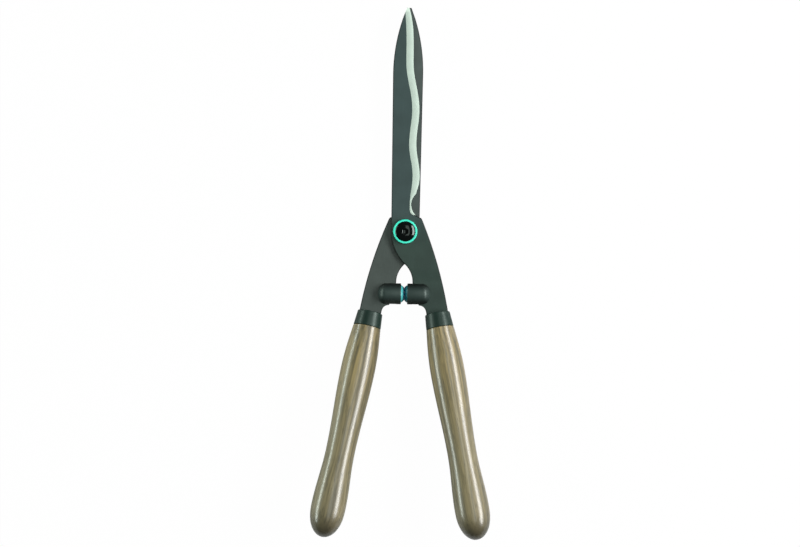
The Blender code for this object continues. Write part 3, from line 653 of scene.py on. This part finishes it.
class SHEARS_OT_blades(bpy.types.Operator):
    """Finish both blades: rounded edges, coated flats and bright ground bands"""
    bl_idname = "shears.blades"
    bl_label = "Blades"

    def execute(self, context):
        look = context.scene.shears.blades
        band = ground_steel("ground_band", look.ground)
        front = coated_steel("front_coating", look.front_coat, look.front_tang)
        rear = coated_steel("rear_coating", look.rear_coat, look.rear_tang)
        # Painted shade: a much darker copy of the coating for the sheared walls and their rounds.
        edge = coated_steel("edge_coating", shade(look.front_coat, look.edge_shade_share),
                            shade(look.front_tang, look.edge_shade_share))
        self.finish_blade(look, "front_blade", 1, FRONT, (front, band, edge))
        self.finish_blade(look, "rear_blade", -1, REAR, (rear, band, edge))
        return {"FINISHED"}

    def finish_blade(self, look, node, side, body, materials):
        piece = self.copy_plate(node)
        piece.data.materials.clear()
        for material in materials:
            piece.data.materials.append(material)
        self.sort_faces(look, piece, side)
        bpy.ops.object.mode_set(mode="EDIT")
        self.reach_out(look, piece, side)
        self.clear_walls(piece)
        self.round_walls(look, piece, side)
        bpy.ops.object.mode_set(mode="OBJECT")
        drop_slivers(piece, SPECK)
        smooth(piece)
        flatten(piece)
        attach(piece, body)
        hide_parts(node)

    def copy_plate(self, node):
        """A copy of a plate's solid, with its corners merged and its flats joined."""
        source = frame["nodes"][node]
        piece = bpy.data.objects.new("finished_" + node, source.data.copy())
        bpy.context.scene.collection.objects.link(piece)
        piece.matrix_world = source.matrix_world
        pick(piece)
        bpy.ops.mesh.customdata_custom_splitnormals_clear()
        bpy.ops.object.mode_set(mode="EDIT")
        bpy.ops.mesh.select_all(action="SELECT")
        bpy.ops.mesh.remove_doubles(threshold=MERGE)
        bpy.ops.mesh.normals_make_consistent(inside=False)
        bpy.ops.mesh.dissolve_limited(angle_limit=FLAT_TURN)
        bpy.ops.object.mode_set(mode="OBJECT")
        return piece

    def sort_faces(self, look, piece, side):
        """Tells the ground band and the sheared walls from the coated flats."""
        for face in piece.data.polygons:
            past_hub = face.center.y > PIVOT.y + look.band_start
            if past_hub and STEEP < side * face.normal.z < LEVEL:
                face.material_index = BAND
            # Steep walls take the darkened coating, painted shade along the plates' sides.
            elif abs(face.normal.z) < STEEP:
                face.material_index = WALL
            else:
                face.material_index = COAT

    def at_band(self, corner):
        return any(face.material_index == BAND for face in corner.link_faces)

    def reach_out(self, look, piece, side):
        """Widens the ground band at its cutting edge, but not at the tip and the notch."""
        tip = max(corner.co.y for corner in piece.data.vertices)
        bpy.ops.mesh.select_mode(type="VERT")
        mesh = bmesh.from_edit_mesh(piece.data)
        mesh.verts.index_update()
        moves = []
        for corner in filter(self.at_band, mesh.verts):
            ends = [link.other_vert(corner) for link in corner.link_edges]
            below = [end.index for end in ends if (end.co.xy - corner.co.xy).length < PLUMB]
            past_notch = (corner.co.y - PIVOT.y - look.notch_end) / look.notch_fade
            fade = min(1, past_notch, (tip - corner.co.y) / look.tip_fade)
            if below and fade > 0:
                moves.append(([corner.index] + below, fade))
        for corners, fade in moves:
            bpy.ops.mesh.select_all(action="DESELECT")
            mesh = bmesh.from_edit_mesh(piece.data)
            mesh.verts.ensure_lookup_table()
            for index in corners:
                mesh.verts[index].select_set(True)
            bpy.ops.transform.translate(value=(side * look.edge_reach * fade, 0, 0))

    def clear_walls(self, piece):
        """Dissolves the corners that lie inside a flat wall, where a round could fold on them."""
        bpy.ops.mesh.select_mode(type="VERT")
        bpy.ops.mesh.select_all(action="DESELECT")
        mesh = bmesh.from_edit_mesh(piece.data)
        for corner in mesh.verts:
            walls = corner.link_faces
            turn = max(first.normal.angle(second.normal, 0) for first in walls for second in walls)
            if turn < WALL_TURN and all(face.material_index == WALL for face in walls):
                corner.select_set(True)
        bmesh.update_edit_mesh(piece.data)
        bpy.ops.mesh.dissolve_verts()

    def round_walls(self, look, piece, side):
        """Rounds the sheared edges that have room for it."""
        bpy.ops.mesh.select_mode(type="EDGE")
        bpy.ops.mesh.select_all(action="DESELECT")
        mesh = bmesh.from_edit_mesh(piece.data)
        for edge in mesh.edges:
            sharp = edge.calc_face_angle(0) > look.edge_sharp
            if sharp and not self.stays_sharp(look, edge, side):
                edge.select_set(True)
        bmesh.update_edit_mesh(piece.data)
        # The rounds take the walls' slot, so they show as thin lines of painted shade.
        bpy.ops.mesh.bevel(offset=look.edge_round, segments=3, affect="EDGES",
                           clamp_overlap=False, material=WALL)

    def stays_sharp(self, look, edge, side):
        """Tells an edge with no room: at the band, the bolt's hole, the foot or a low wall."""
        on_foot = all(look.foot_end < corner.co.y - PIVOT.y < look.foot_start
                      and side * corner.co.x < look.foot_reach for corner in edge.verts)
        at_hole = any((corner.co.xy - PIVOT.xy).length < look.hole_room for corner in edge.verts)
        if on_foot or at_hole or any(map(self.at_band, edge.verts)):
            return True
        for wall in edge.link_faces:
            levels = [corner.co.z for corner in wall.verts]
            if wall.material_index == WALL and max(levels) - min(levels) < look.edge_round:
                return True
        return False


class SHEARS_OT_handles(bpy.types.Operator):
    """Turn the two wooden handles"""
    bl_idname = "shears.handles"
    bl_label = "Wooden handles"

    def execute(self, context):
        look = context.scene.shears.handles
        for words, (side, body) in SIDES.items():
            place = handle_place(look, side)
            piece = turn_piece(words + "_handle", self.profile(look), place)
            combine(piece, spike_room(look, place))
            wood = stained_wood(words + "_stained_wood", look, place)
            dress(piece, wood, body, words + "_handle")
        return {"FINISHED"}

    def profile(self, look):
        """Tenon, shoulder, rise to the swell, waist and rounded end of a handle."""
        shoulder = look.ferrule_length + SEAT_GAP
        points = [(look.tenon, look.ferrule_wall + SEAT_GAP), (look.tenon, shoulder)]
        points.append((look.ferrule_end - COLLAR_CHAMFER, shoulder))
        for place in steps_between(0.0005, look.swell_at, 14):
            rise = math.sin(math.pi / 2 * place / look.swell_at)
            radius = look.ferrule_end + (look.swell - look.ferrule_end) * rise
            points.append((radius, shoulder + place))
        turns = [(look.swell_at, look.swell), (look.waist_at, look.waist)]
        turns.append((look.bulb_at, look.bulb))
        for place in steps_between(look.swell_at, look.bulb_at, 36)[1:]:
            points.append((eased(place, turns), shoulder + place))
        reach = look.wood_length - look.bulb_at
        for turn in steps_between(0, math.pi / 2, 20)[1:-1]:
            along = math.sin(turn)
            radius = look.bulb * math.sqrt(1 - along ** look.bulb_power)
            points.append((radius, shoulder + look.bulb_at + reach * along))
        points.append((look.bulb * POINT, shoulder + look.wood_length))
        return points


class SHEARS_OT_ferrules(bpy.types.Operator):
    """Turn the two black collars"""
    bl_idname = "shears.ferrules"
    bl_label = "Ferrules"

    def execute(self, context):
        look = context.scene.shears.handles
        black = moulded("ferrule_black", look.ferrule_black, roughness=0.40, peel_scale=1500)
        for words, (side, body) in SIDES.items():
            place = handle_place(look, side)
            piece = turn_piece(words + "_ferrule", self.profile(look), place)
            combine(piece, spike_room(look, place))
            dress(piece, black, body, words + "_ferrule")
        return {"FINISHED"}

    def profile(self, look):
        """Bore, chamfered end and rounded top of a collar."""
        bore = look.tenon + SEAT_GAP
        points = [(bore, look.ferrule_wall), (bore, look.ferrule_length)]
        points.append((look.ferrule_end - COLLAR_CHAMFER, look.ferrule_length))
        points.append((look.ferrule_end, look.ferrule_length - COLLAR_CHAMFER))
        top = (look.ferrule_top - look.ferrule_round, 0)
        return points + quarter((look.ferrule_top, look.ferrule_round), top)


class SHEARS_OT_buffers(bpy.types.Operator):
    """Turn the domed caps and the gel pads that meet between them"""
    bl_idname = "shears.buffers"
    bl_label = "Stop buffers"

    def execute(self, context):
        look = context.scene.shears.buffers
        cap_skin = flank_shaded_plastic("cap_plastic", look.cap_colour, PIVOT.y + look.place)
        pad_gel = gel("pad_gel", look.pad_colour, look.pad_shade_colour, PIVOT.x)
        middle = Matrix.Translation(PIVOT + Vector((0, look.place, 0)))
        for words, (side, body) in SIDES.items():
            place = middle @ Matrix.Rotation(side * math.pi / 2, 4, "Y")
            cap = turn_piece(words + "_cap", self.cap_profile(look), place)
            combine(cap, self.tang_slot(look, place))
            dress(cap, cap_skin, body, words + "_buffer_cap")
            pad = turn_piece(words + "_pad", self.pad_profile(look), place)
            dress(pad, pad_gel, body, words + "_buffer_pad", sharp=25)
        return {"FINISHED"}

    def tang_slot(self, look, place):
        half, reach = look.slot_depth / 2, look.cap_radius + OVERCUT
        end = look.cap_face + look.cap_length + OVERCUT
        return box_cutter((-half, -reach, look.slot_start), (half, reach, end), place)

    def cap_profile(self, look):
        """Bore, rounded rim, straight side and dome of a cap."""
        bore, floor = look.pad_radius + SEAT_GAP, look.cap_face + look.plug + SEAT_GAP
        points = [(bore, floor), (bore, look.cap_face + look.rim / 2)]
        points.append((bore + look.rim / 2, look.cap_face))
        rim_top = (look.cap_radius - look.rim, look.cap_face)
        points += reversed(quarter((look.cap_radius, look.cap_face + look.rim), rim_top, count=4))
        straight = look.cap_face + look.cap_length - look.dome
        crown = (look.cap_radius * POINT, straight + look.dome)
        return points + quarter((look.cap_radius, straight), crown, count=16)

    def pad_profile(self, look):
        """Plug, bulging side and nose of a pad."""
        points = [(look.pad_radius, look.cap_face + look.plug), (look.pad_radius, look.cap_face)]
        for step in steps_between(0, 1, 8)[1:-1]:
            radius = look.pad_radius + (look.nose_radius - look.pad_radius) * step
            bulge = PAD_BULGE * math.sin(math.pi * step)
            height = look.cap_face + (look.nose_gap - look.cap_face) * step
            points.append((radius + bulge, height))
        points.append((look.nose_radius, look.nose_gap + LIP))
        points.append((look.nose_radius - 2 * LIP, look.nose_gap))
        return points


class SHEARS_OT_pivot(bpy.types.Operator):
    """Turn the bolt, its coloured ring, the washers and the lock nut"""
    bl_idname = "shears.pivot"
    bl_label = "Pivot"

    def execute(self, context):
        look = context.scene.shears.pivot
        self.ring(look)
        self.bolt(look)
        self.washers(look)
        self.nut(look)
        return {"FINISHED"}

    def ring(self, look):
        low, high = heights(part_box("pivot_ring"))
        radius, bore, base = look.ring_radius, look.ring_bore, low + RING_BASE
        hole = look.neck + TURN_GAP
        points = [(hole, base), (hole, low), (radius - CHAMFER, low), (radius, low + CHAMFER)]
        points += quarter((radius, high - look.ring_round), (radius - look.ring_round, high))
        points += [(bore + LIP, high), (bore, high - LIP), (bore, base)]
        piece = turn_piece("pivot_ring", points, PIVOT_PLACE, closed=True)
        plastic = moulded("ring_plastic", look.ring_colour, roughness=0.32, peel_scale=1300,
                          coat=0.2, depth=0.00001)
        dress(piece, plastic, REAR, "pivot_ring")

    def bolt(self, look):
        low, high = heights(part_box("pivot_bolt"))
        piece = turn_piece("pivot_bolt", self.bolt_profile(look, low, high), PIVOT_PLACE)
        floor = high - look.socket_depth
        combine(piece, hexagon_cutter(look.socket, floor, high + 4 * OVERCUT))
        drill = look.socket / 2 * DRILL_SHARE
        tip = (drill * POINT, floor - drill * look.drill_slope)
        points = [tip, (drill, floor), (drill, floor + OVERCUT / 2)]
        combine(piece, turn_piece("drill_point", points, PIVOT_PLACE))
        round_edges(piece, HEAD_ROUND, sharp=50)
        black = moulded("bolt_black", look.head_colour, roughness=0.10, peel_scale=600,
                        coat=0.15, depth=0.000004, gloss=0.35)
        dress(piece, black, REAR, "pivot_bolt", sharp=20)

    def bolt_profile(self, look, low, high):
        """Threaded end, neck and domed head of the bolt."""
        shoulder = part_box("pivot_washer")[1][2]
        head_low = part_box("pivot_ring")[0][2] + RING_BASE + SEAT_GAP
        radius, pitch = look.head_radius, look.thread_pitch
        turn = low + THREAD_END
        points = [(look.thread - THREAD_END, low), (look.thread, turn)]
        while turn + pitch < shoulder:
            points += [(look.thread - pitch / 2, turn + pitch / 2), (look.thread, turn + pitch)]
            turn += pitch
        points += [(look.thread, shoulder), (look.neck, shoulder), (look.neck, head_low)]
        points += [(radius - CHAMFER, head_low), (radius, head_low + CHAMFER)]
        side = head_low + look.head_rim
        for reach in reversed(steps_between(POINT, 1, 20)):
            points.append((radius * reach, side + (high - side) * (1 - reach ** look.head_power)))
        return points

    def washer_profile(self, look, box, rise=0.0):
        """Hole and chamfered rim of a washer, flat or risen to a cone."""
        (low, high), radius = heights(box), half_width(box)
        hole, edge = look.thread + SEAT_GAP, WASHER_CHAMFER
        points = [(hole, high - rise), (hole, low), (radius - edge, low + rise)]
        points += [(radius, low + rise + edge), (radius, high - edge), (radius - edge, high)]
        return points

    def washers(self, look):
        points = self.washer_profile(look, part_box("pivot_washer"))
        washer = turn_piece("pivot_washer", points, PIVOT_PLACE, closed=True)
        zinc = plated_steel("zinc_washer", look.zinc, roughness=0.28)
        dress(washer, zinc, REAR, "pivot_washer")
        points = self.washer_profile(look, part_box("spring_washer"), SPRING_RISE)
        spring = turn_piece("spring_washer", points, PIVOT_PLACE, closed=True)
        steel = plated_steel("spring_steel", look.spring, roughness=0.35)
        dress(spring, steel, REAR, "spring_washer")

    def nut(self, look):
        low, high = heights(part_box("lock_nut"))
        insert_low, insert_high = heights(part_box("nut_insert"))
        insert = half_width(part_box("nut_insert"))
        corner, flat = look.nut_flats / math.sqrt(3) + LIP, look.nut_flats / 2
        hole = look.thread + SEAT_GAP
        room, ceiling = insert + SEAT_GAP, insert_high + SEAT_GAP
        points = [(hole, high), (hole, ceiling), (room, ceiling), (room, low)]
        points += [(flat - NUT_CHAMFER, low), (flat + LIP, low + NUT_CHAMFER)]
        points += [(corner, low + NUT_LEAD), (corner, high - NUT_BACK), (flat - LIP, high)]
        nut = turn_piece("lock_nut", points, PIVOT_PLACE, closed=True)
        hexagon = hexagon_cutter(look.nut_flats, low - OVERCUT, high + OVERCUT)
        combine(nut, hexagon, "INTERSECT")
        round_edges(nut, NUT_ROUND, sharp=25)
        zinc = plated_steel("zinc_nut", look.zinc, roughness=0.25)
        dress(nut, zinc, REAR, "lock_nut")
        points = [(hole, insert_high), (hole, insert_low + LIP), (hole + LIP, insert_low)]
        points += [(insert - LIP, insert_low), (insert, insert_low + LIP), (insert, insert_high)]
        ring = turn_piece("nut_insert", points, PIVOT_PLACE, closed=True)
        nylon = moulded("nylon", look.nylon, roughness=0.45, peel_scale=1200)
        dress(ring, nylon, REAR, "nut_insert")


class SHEARS_OT_stage(bpy.types.Operator):
    """Lay the floor, hang the lamps and set the camera"""
    bl_idname = "shears.stage"
    bl_label = "Stage"

    def execute(self, context):
        look = context.scene.shears.stage
        self.floor(look)
        self.surroundings(context, look)
        for name in ("key", "rim", "top"):
            self.lamp(look, name)
        self.camera(context, look)
        context.scene.view_settings.view_transform = "Standard"
        return {"FINISHED"}

    def floor(self, look):
        """A floor that is white to the camera and grey to the shears."""
        deselect_all()
        bpy.ops.mesh.primitive_plane_add(size=look.floor_size, location=(0, 0, FLOOR_DROP))
        floor = bpy.context.object
        floor.name = "floor"
        finish = Finish("floor_white", Roughness=0.9)
        seen = finish.node("ShaderNodeLightPath", output="Is Camera Ray")
        grey, pale = (look.floor_grey,) * 3, (look.floor_pale,) * 3
        finish.set("Base Color", finish.mix(seen, grey, pale))
        white = finish.node("ShaderNodeEmission", None, {"Color": WHITE, "Strength": 1.0})
        plain = Wire(finish, finish.shader.outputs[0])
        surface = finish.node("ShaderNodeMixShader", None,
                              {0: seen * look.floor_white, 1: plain, 2: white})
        finish.join(finish.tree.nodes["Material Output"].inputs["Surface"], surface)
        floor.data.materials.append(finish.material)

    def surroundings(self, context, look):
        """Faint light from all round, behind which the camera sees plain white."""
        world = bpy.data.worlds.new("studio")
        context.scene.world = world
        world.use_nodes = True
        nodes, links = world.node_tree.nodes, world.node_tree.links
        faint, white = nodes["Background"], nodes.new("ShaderNodeBackground")
        faint.inputs["Strength"].default_value = look.world_light
        mix = nodes.new("ShaderNodeMixShader")
        rays = nodes.new("ShaderNodeLightPath")
        links.new(rays.outputs["Is Camera Ray"], mix.inputs[0])
        for slot, light in enumerate((faint, white), start=1):
            light.inputs["Color"].default_value = WHITE
            links.new(light.outputs[0], mix.inputs[slot])
        links.new(mix.outputs[0], nodes["World Output"].inputs["Surface"])

    def lamp(self, look, name):
        """A long soft lamp beside the shears, tilted from straight above."""
        deselect_all()
        tilt = getattr(look, name + "_angle")
        place = Vector((math.sin(tilt), 0, math.cos(tilt))) * look.lamp_distance
        place.y += look.lamp_shift
        bpy.ops.object.light_add(type="AREA", location=place, rotation=(0, tilt, 0))
        lamp = bpy.context.object
        lamp.name = name + "_lamp"
        lamp.data.shape = "RECTANGLE"
        lamp.data.size = getattr(look, name + "_wide")
        lamp.data.size_y = look.lamp_long
        lamp.data.energy = getattr(look, name + "_power")
        lamp.data.color = getattr(look, name + "_colour")

    def camera(self, context, look):
        """A camera straight above, with the pivot at its place in the picture."""
        right = Vector((math.cos(look.roll), math.sin(look.roll), 0))
        up = Vector((-math.sin(look.roll), math.cos(look.roll), 0))
        across = (look.pivot_column - IMAGE_WIDTH / 2) * look.pixel
        above = (IMAGE_HEIGHT / 2 - look.pivot_row) * look.pixel
        place = PIVOT - right * across - up * above + Vector((0, 0, look.distance))
        deselect_all()
        bpy.ops.object.camera_add(location=place, rotation=(0, 0, look.roll))
        camera = bpy.context.object
        picture_width = IMAGE_WIDTH * look.pixel
        camera.data.lens = camera.data.sensor_width * look.distance / picture_width
        camera.data.clip_end = VIEW_END
        context.scene.camera = camera


STEPS = (SHEARS_OT_blades, SHEARS_OT_handles, SHEARS_OT_ferrules, SHEARS_OT_buffers,
         SHEARS_OT_pivot, SHEARS_OT_stage)


class SHEARS_PT_panel(bpy.types.Panel):
    """Steps and sizes of the shears"""
    bl_label = "Hedge Shears"
    bl_space_type = "VIEW_3D"
    bl_region_type = "UI"
    bl_category = "Shears"

    def draw(self, context):
        for step in STEPS:
            self.layout.operator(step.bl_idname)
        look = context.scene.shears
        for group in (look.blades, look.handles, look.buffers, look.pivot, look.stage):
            box = self.layout.box()
            for name in group.__annotations__:
                box.prop(group, name)


GROUPS = (BladeLook, HandleLook, BufferLook, PivotLook, StageLook, ShearsLook)
CLASSES = GROUPS + STEPS + (SHEARS_PT_panel,)


def register():
    for item in CLASSES:
        bpy.utils.register_class(item)
    bpy.types.Scene.shears = PointerProperty(type=ShearsLook)


def unregister():
    del bpy.types.Scene.shears
    for item in reversed(CLASSES):
        bpy.utils.unregister_class(item)


def main():
    register()
    bpy.ops.shears.stage()
    bpy.ops.shears.blades()
    bpy.ops.shears.handles()
    bpy.ops.shears.ferrules()
    bpy.ops.shears.buffers()
    bpy.ops.shears.pivot()


if __name__ == "__main__":
    main()
